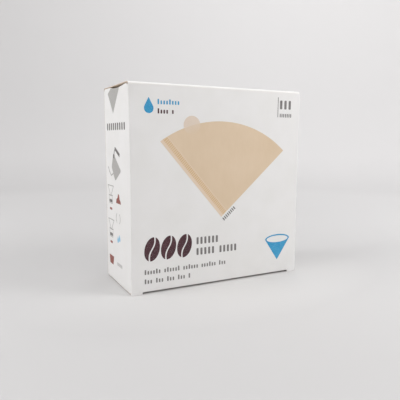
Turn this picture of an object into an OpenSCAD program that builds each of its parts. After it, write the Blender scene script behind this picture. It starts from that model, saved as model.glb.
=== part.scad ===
// Folding carton with a tuck closure at each end, holding a stack of cone coffee filters.
// Millimetres, +Z up, the front panel faces -Y, the origin is the bottom centre.

/* [Carton] */
// Width of the carton across its front panel
carton_w = 120; // [105:1:180]
// Depth of the carton from the front panel to the back panel
carton_d = 48; // [44:0.5:80]
// Height of the carton
carton_h = 122.5; // [115:0.5:200]
// Thickness of the paperboard
board = 0.45; // [0.3:0.05:0.6]
// Outer radius of the upright folds and of the dust flaps' folds
fold_r = 0.8; // [0.7:0.05:1.4]
// Width of the flap that is glued inside the back panel
glue_flap_w = 14; // [8:0.5:25]
// Distance from the carton's ends to the glued flap
glue_flap_inset = 4; // [3:0.5:12]

/* [Closures] */
// How far a tuck flap reaches into the carton, from its panel's crease
tuck_l = 15; // [10:0.5:18]
// Outer radius of the bend between the lid and its tuck flap
lid_bend_r = 1.6; // [1:0.1:2.2]
// Outer radius of the bend between the bottom panel and its tuck flap
base_bend_r = 1.1; // [1:0.1:2]
// Radius of the corners of a tuck flap
tuck_corner_r = 8; // [3:0.5:9]
// Gap between a tuck flap and the front panel
tuck_gap = 0.3; // [0.2:0.05:0.6]
// Gap between each end of a tuck flap and the side panel
tuck_side_gap = 1; // [0.5:0.1:3]
// Gap at each end of the lid, from the carton's outer face
lid_side_gap = 0.3; // [0.2:0.05:1]
// Clearance round the hinge creases and between panels that lie on each other
crease_gap = 0.15; // [0.1:0.05:0.3]
// Width of the front panel's two corner feet
foot_w = 7; // [3:0.5:15]

/* [Dust flaps] */
// Length of a dust flap from the side panel's outer face
dust_l = 38; // [20:0.5:48]
// Distance from a dust flap's long edges to the front and back faces
dust_inset = 2; // [1.8:0.1:6]
// Sag of the upper dust flaps between their ends
dust_sag = 1.7; // [0.8:0.1:2.5]
// Gap between the lid and the ends of the upper dust flaps' folds
dust_gap = 0.45; // [0.3:0.05:0.8]
// Radius of the dust flaps' free corners
dust_corner_r = 6; // [2:0.5:12]

/* [Filters] */
// Clearance round the stack of filters
stack_gap = 0.5; // [0.3:0.1:2]
// Clearance between the top of the stack and the lid's tuck flap
stack_top_gap = 1.2; // [0.5:0.1:6]
// Height of the round edge above the line between the corners, per unit of side
edge_rise = 0.24; // [0.2:0.01:0.28]
// Radius of the grip tab on the round edge
tab_r = 9; // [5:0.5:12]
// Angle from the seam to the grip tab
tab_angle = 21.5; // [15:0.5:60]
// Thickness of one drawn bundle of filters
bundle_t = 1.6; // [1.2:0.1:5]
// Set-back of every second bundle
bundle_step = 0.4; // [0.2:0.1:1]

/* [Front print] */
// Thickness of the printed areas
ink = 0.06; // [0.04:0.01:0.1]
// Distance from the panel's edges to the print
print_margin = 8.4; // [5:0.1:12]
// Height of the pictured filter's point above the carton's base
picture_z = 42.4; // [40:0.2:48]
// Distance from the pictured filter's round edge to the panel's upper end
picture_top_gap = 20.9; // [19:0.1:26]
// Least distance from the pictured filter's corners to the panel's upright folds
picture_side_gap = 12; // [9:0.5:16]
// Tilt of the pictured filter to the right
picture_tilt = 3.8; // [0:0.2:8]
// Width of the pictured seam
picture_seam_w = 5.5; // [3:0.1:8]
// Radius of the pictured grip tab
picture_tab_r = 5.2; // [3:0.1:7]
// Length of a printed coffee bean
bean_l = 14.6; // [8:0.2:17]
// Width of a printed coffee bean
bean_w = 9.6; // [6:0.2:12]
// Distance between neighbouring beans
bean_pitch = 10.6; // [9:0.2:13]
// Width of the furrow along a printed bean
furrow_w = 0.9; // [0.5:0.1:1.4]
// Height of the larger lettering
letter_h = 4.4; // [2.5:0.1:5.5]
// Height of the smaller lettering
small_letter_h = 2.9; // [1.5:0.1:3.4]
// Width of the upright rule beside the count
rule_w = 0.45; // [0.3:0.05:0.9]
// Width of the printed cone dripper
cone_w = 20; // [10:0.5:24]
// Height of the printed drop
drop_h = 9; // [5:0.5:12]
// Length of the row of lettering beside the drop
mark_l = 15; // [8:0.5:18]
// Length of the two rows at the upper right
count_l = 11; // [6:0.5:14]
// Distance from those rows to the right-hand fold
count_margin = 5.6; // [4:0.1:12]

/* [Side print] */
// Width of the grey cone at the top
side_cone_w = 23; // [10:0.5:28]
// Width of one brewing pictogram
icon_w = 12; // [8:0.5:14]
// Height of the lowest row of pictograms above the carton's base
icon_base = 6; // [4:0.5:12]
// Thickness of the pictograms' thin lines
line_w = 0.55; // [0.4:0.05:0.9]
// Height of the heading above the pictograms
heading_h = 4.3; // [2:0.1:5.5]

/* [Hidden] */
$fn = 48;
half_w = carton_w / 2;
half_d = carton_d / 2;
// The creases of both closures run along the inner face of the back panel
crease_y = half_d - board;
// Distance from a crease to the outer face of its tuck flap
tuck_reach = carton_d - 2 * board - tuck_gap;
lid_w = carton_w - 2 * lid_side_gap;
base_w = carton_w - 2 * (board + lid_side_gap);
tuck_w = carton_w - 2 * (board + tuck_side_gap);
// Facets along a crease's bead, a closure's bend and a tuck flap's curve
bead_steps = 18;
bend_steps = 16;
flap_steps = 10;
// Upper and lower edges of the four panels
front_top_z = carton_h - lid_bend_r - crease_gap;
back_edge = 2 * board + crease_gap;
// The upper dust flaps sag along an arc of this radius, about a line above the carton
dust_half = half_d - dust_inset;
dust_top_z = carton_h - board - dust_gap;
sag_r = (pow(dust_half, 2) + pow(dust_sag, 2)) / (2 * dust_sag);
sag_z = dust_top_z - dust_sag + sag_r;
sag_angle = asin(dust_half / sag_r);
// Length of the side panel's strip that is drawn with each dust flap
dust_root = fold_r + 1;
// The lower dust flaps lie flat on the bottom panel
dust_base_z = board + crease_gap / 3;
// The stack stands on the lower dust flaps, behind both tuck flaps
stack_z = dust_base_z + board + crease_gap / 3;
stack_x = -half_w + board + stack_gap;
tuck_inner_y = crease_y - sqrt(pow(tuck_reach - board, 2) - pow(tuck_l, 2));
stack_front = tuck_inner_y + stack_gap;
stack_back = half_d - 2 * board - stack_gap;
stack_side = min(carton_h - board - tuck_l - stack_top_gap - stack_z,
                 carton_w - 2 * (board + stack_gap));
bundles = 2 * floor((stack_back - stack_front) / bundle_t / 2) + 1;
bundle_pitch = (stack_back - stack_front) / bundles;
// The pictured filter fills the panel's height, or its width where that is less
picture_side = min((carton_h - picture_top_gap - picture_z) / (1 / sqrt(2) + edge_rise),
                   (carton_w - 2 * picture_side_gap) / sqrt(2));
// Rows of print, counted from the base and from the top
title_z = 26.5;
text_z = 11.6;
text_pitch = 5.6;
mark_z = carton_h - 14.5;
mark_rise = 2.4;
mark_fall = 2.8;
title_x = -half_w + print_margin;
title_text_x = title_x + 3 * bean_pitch + bean_w / 4;
title_l = 0.64 * (half_w - print_margin - cone_w - title_text_x);
text_l = 0.47 * carton_w;
count_x = half_w - count_margin - count_l;
// Share of a letter's height that its pitch takes, and of that pitch that its block fills
letter_pitch = 0.62;
letter_fill = 0.52;
// Height of small letters in a row that also has capitals
low_letter = 0.74;
side_top_z = carton_h - 2.2;
side_heading_z = carton_h - 26.5;
// Four rows and two columns of pictograms on the side panel
icon_pitch = (side_heading_z - icon_base - small_letter_h) / 4;
// The kettle fills more than its own cell
kettle_row = 3;
icon_size = min(icon_w, 0.6 * icon_pitch);
icon_back_y = carton_d * 0.29;
icon_front_y = -carton_d * 0.03;

// Outline of a line of even breadth that is drawn through points
function drawn_line(points, breadth) =
    let (last = len(points) - 1,
         runs = [for (i = [0 : last]) points[min(i + 1, last)] - points[max(i - 1, 0)]],
         off = [for (run = runs) breadth / 2 / norm(run) * [-run[1], run[0]]])
    concat([for (i = [0 : last]) points[i] + off[i]], [for (i = [last : -1 : 0]) points[i] - off[i]]);

// Points along an oval, given its half width and half height
function oval(half, start, end, steps) =
    [for (i = [0 : steps]) [half[0] * cos(start + (end - start) * i / steps),
                            half[1] * sin(start + (end - start) * i / steps)]];

// A rectangle with round corners, centred
module round_rect(w, d, r) {
    square([w - 2 * r, d], center = true);
    square([w, d - 2 * r], center = true);
    for (x = [-1, 1], y = [-1, 1]) translate([x * (w / 2 - r), y * (d / 2 - r)]) circle(r);
}

// Points along an arc, from one angle to another
function arc(centre, radius, start, end, steps) =
    [for (i = [0 : steps]) centre + radius * [cos(start + (end - start) * i / steps),
                                              sin(start + (end - start) * i / steps)]];

// Section of a closure, cut square to its crease. The crease is a round bead at the origin,
// the panel lies from there along -X with its outer face up, and its tuck flap curves round
// the crease so that it swings clear of the front panel.
module closure_section(bend_r) {
    bend = [-sqrt(pow(tuck_reach - bend_r, 2) - pow(bend_r - board, 2)), board - bend_r];
    turn = 180 + asin((bend_r - board) / (tuck_reach - bend_r));
    tip = 180 + asin((tuck_l + board) / tuck_reach);
    polygon(concat(arc([0, 0], board, 90, -180, bead_steps),
                   arc(bend, bend_r - board, 90, turn, bend_steps),
                   arc([0, 0], tuck_reach - board, turn + (tip - turn) / flap_steps, tip, flap_steps - 1),
                   arc([0, 0], tuck_reach, tip, turn + (tip - turn) / flap_steps, flap_steps - 1),
                   arc(bend, bend_r, turn, 90, bend_steps)));
}

// Outline of a closure seen from the front: the ends of the panel, and below its bend
// the narrower tuck flap with two round corners
module closure_outline(panel_w, bend_r) {
    straight = tuck_l - tuck_corner_r;
    translate([-panel_w / 2, board - bend_r]) square([panel_w, bend_r + board]);
    translate([-tuck_w / 2, -straight]) square([tuck_w, straight + board]);
    translate([-tuck_w / 2 + tuck_corner_r, -tuck_l]) square([tuck_w - 2 * tuck_corner_r, tuck_l]);
    for (x = [-1, 1]) translate([x * (tuck_w / 2 - tuck_corner_r), -straight]) circle(tuck_corner_r);
}

// A closure panel with its tuck flap. The crease lies on the X axis, the panel runs
// towards -Y and the flap hangs down.
module closure(panel_w, bend_r) {
    intersection() {
        translate([-panel_w / 2, 0, 0]) rotate([90, 0, 90]) linear_extrude(panel_w) closure_section(bend_r);
        translate([0, carton_d, 0]) rotate([90, 0, 0]) linear_extrude(2 * carton_d)
            closure_outline(panel_w, bend_r);
    }
}

// Section of a side panel's fold into its dust flap: x runs inwards, y runs up to the fold's top
module dust_section() {
    translate([fold_r, -board]) square([dust_l - fold_r, board]);
    translate([0, -fold_r - dust_root]) square([board, dust_root]);
    translate([fold_r, -fold_r]) difference() {
        intersection() {
            circle(fold_r);
            translate([-fold_r, 0]) square(fold_r);
        }
        circle(fold_r - board);
    }
}

// Plan of a left-hand dust flap with its free corners rounded, from the side panel's outer face
module dust_plan() {
    width = 2 * dust_half;
    translate([0, -dust_half]) square([dust_l - dust_corner_r, width]);
    translate([0, -dust_half + dust_corner_r]) square([dust_l, width - 2 * dust_corner_r]);
    for (y = [-1, 1]) translate([dust_l - dust_corner_r, y * (dust_half - dust_corner_r)])
        circle(dust_corner_r);
}

module upper_dust_flap() {
    translate([-half_w, 0, 0]) intersection() {
        translate([0, 0, sag_z]) rotate([0, 90, 0]) rotate(-sag_angle) rotate_extrude(angle = 2 * sag_angle)
            translate([sag_r, 0]) rotate(90) dust_section();
        linear_extrude(carton_h) dust_plan();
    }
}

module lower_dust_flap() {
    translate([-half_w, 0, dust_base_z]) mirror([0, 0, 1]) intersection() {
        translate([0, dust_half, 0]) rotate([90, 0, 0]) linear_extrude(2 * dust_half) dust_section();
        translate([0, 0, -carton_h]) linear_extrude(carton_h) dust_plan();
    }
}

// The four panels as one tube, with their edges cut for the closures and the dust flaps
module panels() {
    difference() {
        linear_extrude(carton_h) difference() {
            round_rect(carton_w, carton_d, fold_r);
            round_rect(carton_w - 2 * board, carton_d - 2 * board, fold_r - board);
        }
        // Upper edges of the front and side panels, then of the back panel
        translate([-carton_w, -carton_d, front_top_z]) cube([2 * carton_w, 1.5 * carton_d - fold_r, carton_h]);
        translate([-carton_w, half_d - fold_r, carton_h - back_edge]) cube([2 * carton_w, carton_d, carton_h]);
        // Sagging upper edges of the side panels, below the folds of the dust flaps
        intersection() {
            translate([0, 0, sag_z]) rotate([0, 90, 0])
                cylinder(r = sag_r + fold_r, h = 2 * carton_w, center = true);
            translate([-carton_w, -half_d + fold_r, 0]) cube([2 * carton_w, carton_d - 2 * fold_r, carton_h]);
        }
        // Lower edges of the side panels and the back panel
        translate([-carton_w, -half_d + fold_r, -1])
            cube([2 * carton_w, carton_d - 2 * fold_r, 1 + dust_base_z + fold_r]);
        translate([-carton_w, half_d - fold_r, -1]) cube([2 * carton_w, carton_d, 1 + back_edge]);
        // Lower edge of the front panel, between its corner feet
        translate([-half_w + foot_w, -carton_d, -1])
            cube([carton_w - 2 * foot_w, half_d + fold_r, 1 + base_bend_r]);
    }
}

// The flap of the left side panel that is glued inside the back panel
module glue_flap() {
    taper = glue_flap_w / 4;
    translate([-half_w + board / 2, crease_y, 0]) rotate([90, 0, 0]) linear_extrude(board)
        polygon([[0, glue_flap_inset], [glue_flap_w, glue_flap_inset + taper],
                 [glue_flap_w, carton_h - glue_flap_inset - taper], [0, carton_h - glue_flap_inset]]);
}

// Outline of a folded cone filter: the point is at the origin and the straight edges,
// at a right angle, run along +X and +Y up to the round edge
module filter_sector(side) {
    chord = side / sqrt(2);
    rise = edge_rise * side;
    edge_r = (pow(chord, 2) + pow(rise, 2)) / (2 * rise);
    along = (chord + rise - edge_r) / sqrt(2);
    intersection() {
        square(side);
        translate([along, along]) circle(edge_r, $fn = 96);
    }
}

// The grip tab, centred on the round edge at an angle from the seam along +Y
module grip_tab(side, radius) {
    reach = side * (1 - 0.038 * sin(2 * tab_angle) / sin(45));
    translate([reach * sin(tab_angle), reach * cos(tab_angle)]) circle(radius);
}

module carton_body() {
    color("whitesmoke") {
        panels();
        glue_flap();
        for (side = [0, 1]) mirror([side, 0, 0]) {
            upper_dust_flap();
            lower_dust_flap();
        }
    }
}

module lid() {
    color("white") translate([0, crease_y, carton_h - board]) closure(lid_w, lid_bend_r);
}

module bottom_flap() {
    color("white") translate([0, crease_y, board]) mirror([0, 0, 1]) closure(base_w, base_bend_r);
}

// A slab of the stack, with its edges set back by an amount
module bundle(y, thickness, step) {
    translate([stack_x, y, stack_z]) rotate([90, 0, 0]) linear_extrude(thickness) {
        translate([step, step]) filter_sector(stack_side - 2 * step);
        grip_tab(stack_side, tab_r - step);
    }
}

// The filters as one block whose bundles show as steps at the edges
module filter_stack() {
    color("burlywood") {
        bundle(stack_back, stack_back - stack_front, bundle_step);
        for (i = [0 : 2 : bundles - 1]) bundle(stack_back - i * bundle_pitch, bundle_pitch, 0);
    }
}

// Flat artwork laid on the front panel, and on the left side panel
module on_front() {
    translate([0, -half_d, 0]) rotate([90, 0, 0]) linear_extrude(ink) children();
}

module on_side() {
    translate([-half_w - ink, 0, 0]) rotate([90, 0, 90]) linear_extrude(ink) children();
}

// Placing of the pictured filter, its seam edge up to the left
module in_picture() {
    translate([0, picture_z]) rotate(45 - picture_tilt) children();
}

// A row of letter-sized blocks with word gaps. Every fourth block is a capital, and the
// others have a share of its height.
module letter_row(row_l, height, gap_every, low = 1, pitch_share = letter_pitch) {
    pitch = height * pitch_share;
    for (i = [0 : floor(row_l / pitch) - 1]) if (i % gap_every != gap_every - 1)
        translate([i * pitch, 0]) square([pitch * letter_fill, height * (i % 4 == 0 ? 1 : low)]);
}

// A coffee bean with the furrow along its middle
module bean() {
    bulge_r = (pow(bean_l / 2, 2) + pow(bean_w / 2, 2)) / bean_w + bean_w / 8;
    difference() {
        intersection() {
            translate([bean_w / 2 - bulge_r, 0]) circle(bulge_r);
            translate([bulge_r - bean_w / 2, 0]) circle(bulge_r);
            circle(bean_l / 2);
        }
        translate([bean_l * 0.8, 0]) difference() {
            circle(bean_l * 0.8 + furrow_w / 2);
            circle(bean_l * 0.8 - furrow_w / 2);
        }
    }
}

// A falling drop: a point whose sides run tangent into an arc
module drop(height) {
    radius = height * 0.32;
    lean = acos(radius / (height - radius));
    polygon(concat([[0, height]], arc([0, radius], radius, 90 - lean, lean - 270, 2 * bead_steps)));
}

// A cone that points down, its open rim seen from above
module cone_sign(width) {
    rim = [width / 2, width * 0.16];
    difference() {
        polygon(concat(oval(rim, 0, 180, bead_steps), [[0, -width * 0.84]]));
        polygon(oval([rim[0] * 0.88, rim[1] * 0.72], 5, 360 - 5, 2 * bead_steps));
    }
}

// The tipped body of a pouring kettle, with its spout
module kettle_body(w) {
    polygon(w * [[0.66, 0.86], [0.28, 0.82], [-0.1, 0.55], [-0.57, 0.22], [-0.55, 0.12],
                 [0.26, -0.34], [0.36, -0.34], [0.62, -0.05], [0.9, 0.3]]);
    polygon(drawn_line(w * [[0.5, 0.1], [0.78, -0.1], [1.02, -0.14], [1.3, 0.05], [1.52, 0.3]], 1.5 * line_w));
}

// The bail handle of the tipped kettle
module kettle_handle(w) {
    polygon(drawn_line(w * [[0.34, 1.3], [0.2, 1.27], [-0.46, 0.94]], 3 * line_w));
    polygon(drawn_line(w * [[0.24, 1.24], [0.5, 1.1], [0.48, 0.92]], 1.5 * line_w));
}

// A cone dripper over a cup, drawn in outline
module dripper(w) {
    for (side = [-1, 1]) polygon(drawn_line(w * [[side * 0.5, 1], [side * 0.08, 0.46]], line_w));
    polygon(drawn_line(w * [[-0.5, 0.98], [0.5, 0.98]], line_w));
    polygon(drawn_line(w * [[-0.34, 0.46], [0.34, 0.46]], 1.5 * line_w));
    polygon(drawn_line(w * [[-0.3, 0.38], [-0.26, 0.04], [0.26, 0.04], [0.3, 0.38]], line_w));
}

// Placing of a pictogram in one of the two columns, on a row counted from the lowest
module in_cell(y, row) {
    translate([y, icon_base + row * icon_pitch]) children();
}

module print_tan() {
    color("tan") on_front() in_picture() difference() {
        filter_sector(picture_side);
        square([picture_seam_w, picture_side]);
    }
}

module print_seam() {
    color("peru") on_front() in_picture() intersection() {
        filter_sector(picture_side);
        square([picture_seam_w, picture_side]);
    }
}

module print_tab() {
    color("wheat") on_front() in_picture() difference() {
        grip_tab(picture_side, picture_tab_r);
        filter_sector(picture_side);
    }
}

module print_maroon() {
    color("#4b2a30") {
        on_front() {
            for (i = [0 : 2]) translate([title_x + bean_w / 2 + i * bean_pitch, title_z]) rotate(-14) bean();
            translate([title_x + drop_h, mark_z - mark_fall])
                letter_row(0.73 * mark_l, small_letter_h, 5, low_letter);
        }
        on_side() {
            // The heap of ground coffee, the full cup, and the coffee under each dripper
            in_cell(icon_front_y, 2) translate([0, icon_size * 0.2]) intersection() {
                circle(icon_size * 0.34);
                translate([-icon_size, 0]) square(2 * icon_size);
            }
            in_cell(icon_back_y, 0) translate([0, icon_size * 0.4])
                polygon([[-icon_size * 0.34, icon_size * 0.34], [icon_size * 0.34, icon_size * 0.34],
                         [icon_size * 0.24, 0], [-icon_size * 0.24, 0]]);
            for (row = [1, 2]) in_cell(icon_back_y, row) translate([0, -icon_size * 0.25])
                square(icon_size * [0.4, 0.12], center = true);
        }
    }
}

module print_blue() {
    color("#4096c3") {
        on_front() {
            translate([half_w - print_margin - cone_w / 2, title_z]) cone_sign(cone_w);
            translate([title_x + drop_h * 0.4, mark_z - mark_fall]) drop(drop_h);
            translate([title_x + drop_h, mark_z + mark_rise]) letter_row(mark_l, small_letter_h, 9, low_letter);
        }
        on_side() in_cell(icon_front_y, 1) drop(icon_size * 0.4);
    }
}

module print_grey() {
    color("#8c8886") {
        on_front() {
            translate([title_text_x, title_z]) letter_row(0.64 * title_l, letter_h, 7);
            translate([title_text_x, title_z - letter_h * 1.55]) letter_row(title_l, letter_h, 6);
            translate([title_x, text_z]) letter_row(text_l, small_letter_h, 7, low_letter);
            translate([title_x, text_z - text_pitch]) letter_row(0.55 * text_l, small_letter_h, 4, low_letter);
            // The count at the upper right, beside its upright rule
            translate([count_x - 4 * rule_w, mark_z - mark_fall]) square([rule_w, letter_h * 2.9]);
            translate([count_x, mark_z + mark_rise]) letter_row(count_l, letter_h * 1.28, 7);
            translate([count_x, mark_z - mark_fall]) letter_row(count_l, small_letter_h * 0.8, 9);
            // The word along the pictured filter's lower edge
            in_picture() translate([0, -small_letter_h * 1.2])
                letter_row(0.2 * picture_side, small_letter_h * 0.8, 9);
        }
        on_side() {
            // The cone at the top, its rear corner cut, ends where the panel folds over into
            // its sagging dust flap
            difference() {
                translate([carton_d * 0.09, side_top_z])
                    polygon(side_cone_w * [[-0.5, 0], [0, -0.55], [0.46, -0.12], [0.18, 0]]);
                translate([0, sag_z]) circle(sag_r + fold_r);
            }
            in_cell(icon_front_y - icon_size / 2, 0) translate([0, icon_size * 0.5])
                letter_row(icon_size, small_letter_h * 0.7, 9);
            in_cell(icon_front_y, kettle_row) kettle_body(icon_size);
            for (row = [1, 2]) in_cell(icon_back_y, row) dripper(icon_size);
        }
    }
}

module print_black() {
    color("#2c2826") on_side() {
        translate([-carton_d * 0.37, side_heading_z])
            letter_row(carton_d * 0.8, heading_h, 20, pitch_share = 0.9);
        in_cell(icon_front_y, kettle_row) kettle_handle(icon_size);
        // The jug's filling below each dripper
        for (row = [1, 2]) in_cell(icon_back_y, row)
            translate(icon_size * [-0.2, 0.12]) square(icon_size * [0.4, 0.14]);
    }
}

carton_body();
lid();
bottom_flap();
filter_stack();
print_tan();
print_seam();
print_tab();
print_maroon();
print_blue();
print_grey();
print_black();
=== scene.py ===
import bpy
import bmesh
import random
from math import acos, asin, cos, degrees, hypot, pi, radians, sin, sqrt
from mathutils import Matrix, Vector


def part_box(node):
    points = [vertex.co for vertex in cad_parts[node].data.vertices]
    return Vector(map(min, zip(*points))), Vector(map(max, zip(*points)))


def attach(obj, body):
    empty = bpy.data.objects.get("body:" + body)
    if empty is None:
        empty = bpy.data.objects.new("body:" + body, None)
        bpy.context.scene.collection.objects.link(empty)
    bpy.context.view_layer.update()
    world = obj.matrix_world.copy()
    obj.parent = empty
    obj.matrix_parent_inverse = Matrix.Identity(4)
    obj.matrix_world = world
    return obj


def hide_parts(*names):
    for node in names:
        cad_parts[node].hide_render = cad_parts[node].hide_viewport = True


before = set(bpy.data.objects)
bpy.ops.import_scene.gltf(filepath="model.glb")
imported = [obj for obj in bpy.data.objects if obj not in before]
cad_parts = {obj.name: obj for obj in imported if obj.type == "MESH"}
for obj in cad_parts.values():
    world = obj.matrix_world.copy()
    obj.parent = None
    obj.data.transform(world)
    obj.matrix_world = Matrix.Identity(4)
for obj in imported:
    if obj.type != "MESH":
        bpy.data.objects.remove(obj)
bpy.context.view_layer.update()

# A closed tuck-end carton of cone filters, made in millimetres. The room round it is in metres
scene = bpy.context.scene
mm = 0.001

# Outer sizes in millimetres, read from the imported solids
bodyLow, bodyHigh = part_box("carton_body")
width = (bodyHigh.x - bodyLow.x) / mm
depth = (bodyHigh.y - bodyLow.y) / mm
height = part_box("lid")[1].z / mm
halfW, halfD = width / 2, depth / 2
board = 0.45
sharpFrom = 35  # faces that meet at more degrees than this have a sharp edge
print("carton %.1f x %.1f x %.1f mm" % (width, depth, height))


# Small helpers

def clamp(value, low=0.0, high=1.0):
    return max(low, min(high, value))


def ease(value, low, high):  # 0 at low, 1 at high
    t = clamp((value - low) / (high - low))
    return t * t * (3 - 2 * t)


# Smooth curve through (position, value) pairs
def throughPoints(points, at):
    last = len(points) - 1
    at = clamp(at, points[0][0], points[last][0])
    i = next(k for k in range(last) if at <= points[k + 1][0])
    (x0, y0), (x1, y1) = points[i], points[i + 1]
    before, after = points[max(i - 1, 0)], points[min(i + 2, last)]
    m0 = (y1 - before[1]) / (x1 - before[0])
    m1 = (after[1] - y0) / (after[0] - x0)
    t, span = (at - x0) / (x1 - x0), x1 - x0
    return (y0 * (1 + 2 * t) * (1 - t) ** 2 + m0 * span * t * (1 - t) ** 2
            + y1 * t * t * (3 - 2 * t) + m1 * span * t * t * (t - 1))


def spread(start, end, step):  # evenly spaced stops, both ends included
    count = max(1, round(abs(end - start) / step))
    return [start + (end - start) * i / count for i in range(count + 1)]


def arc(cx, cy, radius, start, end, steps):  # points on a circle, degrees
    turns = [radians(start + (end - start) * i / steps) for i in range(steps + 1)]
    return [(cx + radius * cos(t), cy + radius * sin(t)) for t in turns]


def linear(tone):  # screen colour, 0 to 255, to the shader's colour
    shares = [c / 255 for c in tone]
    return tuple(c / 12.92 if c <= 0.04045 else ((c + 0.055) / 1.055) ** 2.4 for c in shares) + (1.0,)


# A grid of points becomes faces, its outer side to the left of the way the columns go
def addPatch(bm, columns, wearAndHighlight=None):
    layer = bm.verts.layers.float.get("wearAndHighlight") or bm.verts.layers.float.new("wearAndHighlight")
    rows = []
    for i, column in enumerate(columns):
        rows.append([])
        for j, point in enumerate(column):
            vert = bm.verts.new(Vector(point) * mm)
            vert[layer] = wearAndHighlight[i][j] if wearAndHighlight else 0.0
            rows[-1].append(vert)
    for a, b in zip(rows, rows[1:]):
        for k in range(len(a) - 1):
            bm.faces.new((a[k], a[k + 1], b[k + 1], b[k]))


# The faces get their thickness inwards, with materials for the outer face, the inner face and the rim
def makePiece(bm, name, body, materials, nodes, thickness):
    mesh = bpy.data.meshes.new(name)
    bmesh.ops.remove_doubles(bm, verts=bm.verts, dist=1e-7)
    bm.to_mesh(mesh)
    bm.free()
    piece = bpy.data.objects.new(name, mesh)
    scene.collection.objects.link(piece)
    for material in materials:
        mesh.materials.append(material)
    shell = piece.modifiers.new("shell", "SOLIDIFY")
    shell.thickness = thickness * mm
    shell.offset = -1
    shell.use_quality_normals = True
    shell.material_offset = min(1, len(materials) - 1)
    shell.material_offset_rim = len(materials) - 1
    bpy.context.view_layer.update()
    solid = piece.evaluated_get(bpy.context.evaluated_depsgraph_get())
    settled = bpy.data.meshes.new_from_object(solid)
    piece.modifiers.clear()
    piece.data = settled
    settled.shade_smooth()
    settled.set_sharp_from_angle(angle=radians(sharpFrom))
    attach(piece, body)
    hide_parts(*nodes)
    print("piece", name, len(settled.polygons), "faces")


# Node helpers

def addNode(tree, kind, inputs=None, **settings):
    node = tree.nodes.new(kind)
    for key, value in settings.items():
        setattr(node, key, value)
    for key, value in (inputs or {}).items():
        if isinstance(value, bpy.types.NodeSocket):
            tree.links.new(value, node.inputs[key])
        else:
            node.inputs[key].default_value = value
    return node


def newMaterial(name):
    material = bpy.data.materials.new(name)
    material.use_nodes = True
    tree = material.node_tree
    return material, tree, tree.nodes["Principled BSDF"]


def finishShader(tree, shader, colour, rough, normal, shine=0.5):
    for socket, value in (("Base Color", colour), ("Roughness", rough), ("Normal", normal)):
        tree.links.new(value, shader.inputs[socket])
    shader.inputs["Specular IOR Level"].default_value = shine


def place(tree, scale=(1, 1, 1), turn=(0, 0, 0)):  # object coordinates, scaled and turned
    coords = addNode(tree, "ShaderNodeTexCoord").outputs["Object"]
    inputs = {"Vector": coords, "Scale": scale, "Rotation": turn}
    return addNode(tree, "ShaderNodeMapping", inputs).outputs["Vector"]


def axesOf(tree, vector):
    return addNode(tree, "ShaderNodeSeparateXYZ", {"Vector": vector}).outputs


def noiseAt(tree, vector, scale, detail=3.0, roughness=0.55):
    inputs = {"Vector": vector, "Scale": scale, "Detail": detail, "Roughness": roughness}
    return addNode(tree, "ShaderNodeTexNoise", inputs).outputs["Fac"]


def rampOf(tree, value, low, high, toLow=0.0, toHigh=1.0):
    inputs = {"Value": value, "From Min": low, "From Max": high, "To Min": toLow, "To Max": toHigh}
    return addNode(tree, "ShaderNodeMapRange", inputs).outputs["Result"]


def mathOf(tree, operation, a, b=0.5):
    return addNode(tree, "ShaderNodeMath", {0: a, 1: b}, operation=operation).outputs[0]


def distanceTo(tree, a, b):
    inputs = {0: a, 1: b}
    return addNode(tree, "ShaderNodeVectorMath", inputs, operation="DISTANCE").outputs["Value"]


def mixOf(tree, factor, a, b):
    inputs = {"Factor": factor, "A": a, "B": b}
    return addNode(tree, "ShaderNodeMix", inputs, data_type="RGBA").outputs["Result"]


def bumpOf(tree, value, strength, distance, normal=None):
    inputs = {"Height": value, "Strength": strength, "Distance": distance}
    if normal:
        inputs["Normal"] = normal
    return addNode(tree, "ShaderNodeBump", inputs).outputs["Normal"]


coated = dict(
    white=(240, 239, 238), cloud=(237, 236, 234), cloudScale=55,  # the coating and its faint clouding
    wornAndHighlit=(246, 244, 241), wornAndHighlitScale=420,  # coating bruised along the folds and painted lighter there, a painted highlight on the folds
    roughLow=0.42, roughHigh=0.56, roughScale=180, shine=0.42,
    fibreScale=2600, fibreDepth=0.00004, fibres=0.10,
    waveScale=30, waveDepth=0.0009, waves=0.03)


def coatedBoard():
    material, tree, shader = newMaterial("coatedBoard")
    here = place(tree)
    clouds = rampOf(tree, noiseAt(tree, here, coated["cloudScale"]), 0.35, 0.65)
    colour = mixOf(tree, clouds, linear(coated["white"]), linear(coated["cloud"]))
    # Lighter along the folds: worn coating with a painted highlight over it
    wearAndHighlight = addNode(tree, "ShaderNodeAttribute", attribute_name="wearAndHighlight").outputs["Fac"]
    patchy = rampOf(tree, noiseAt(tree, here, coated["wornAndHighlitScale"], 5.0), 0.38, 0.62)
    bruisedAndHighlit = mathOf(tree, "MULTIPLY", wearAndHighlight, patchy)
    colour = mixOf(tree, bruisedAndHighlit, colour, linear(coated["wornAndHighlit"]))
    gloss = noiseAt(tree, here, coated["roughScale"])
    rough = rampOf(tree, gloss, 0.3, 0.7, coated["roughLow"], coated["roughHigh"])
    fibres = noiseAt(tree, here, coated["fibreScale"], 4.0)
    normal = bumpOf(tree, fibres, coated["fibres"], coated["fibreDepth"])
    waves = noiseAt(tree, here, coated["waveScale"], 1.0)
    normal = bumpOf(tree, waves, coated["waves"], coated["waveDepth"], normal)
    finishShader(tree, shader, colour, rough, normal, coated["shine"])
    return material


pulp = dict(
    # Uncoated inner face
    light=(232, 214, 194), dark=(213, 194, 173), speck=(128, 110, 92), specks=0.35,
    strandScale=480, speckScale=1500, strandDepth=0.00006, shine=0.25,
    # Cut edges
    edge=(224, 209, 193), edgeDark=(194, 176, 160), plyScale=5200, plyDepth=0.00005)


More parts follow.
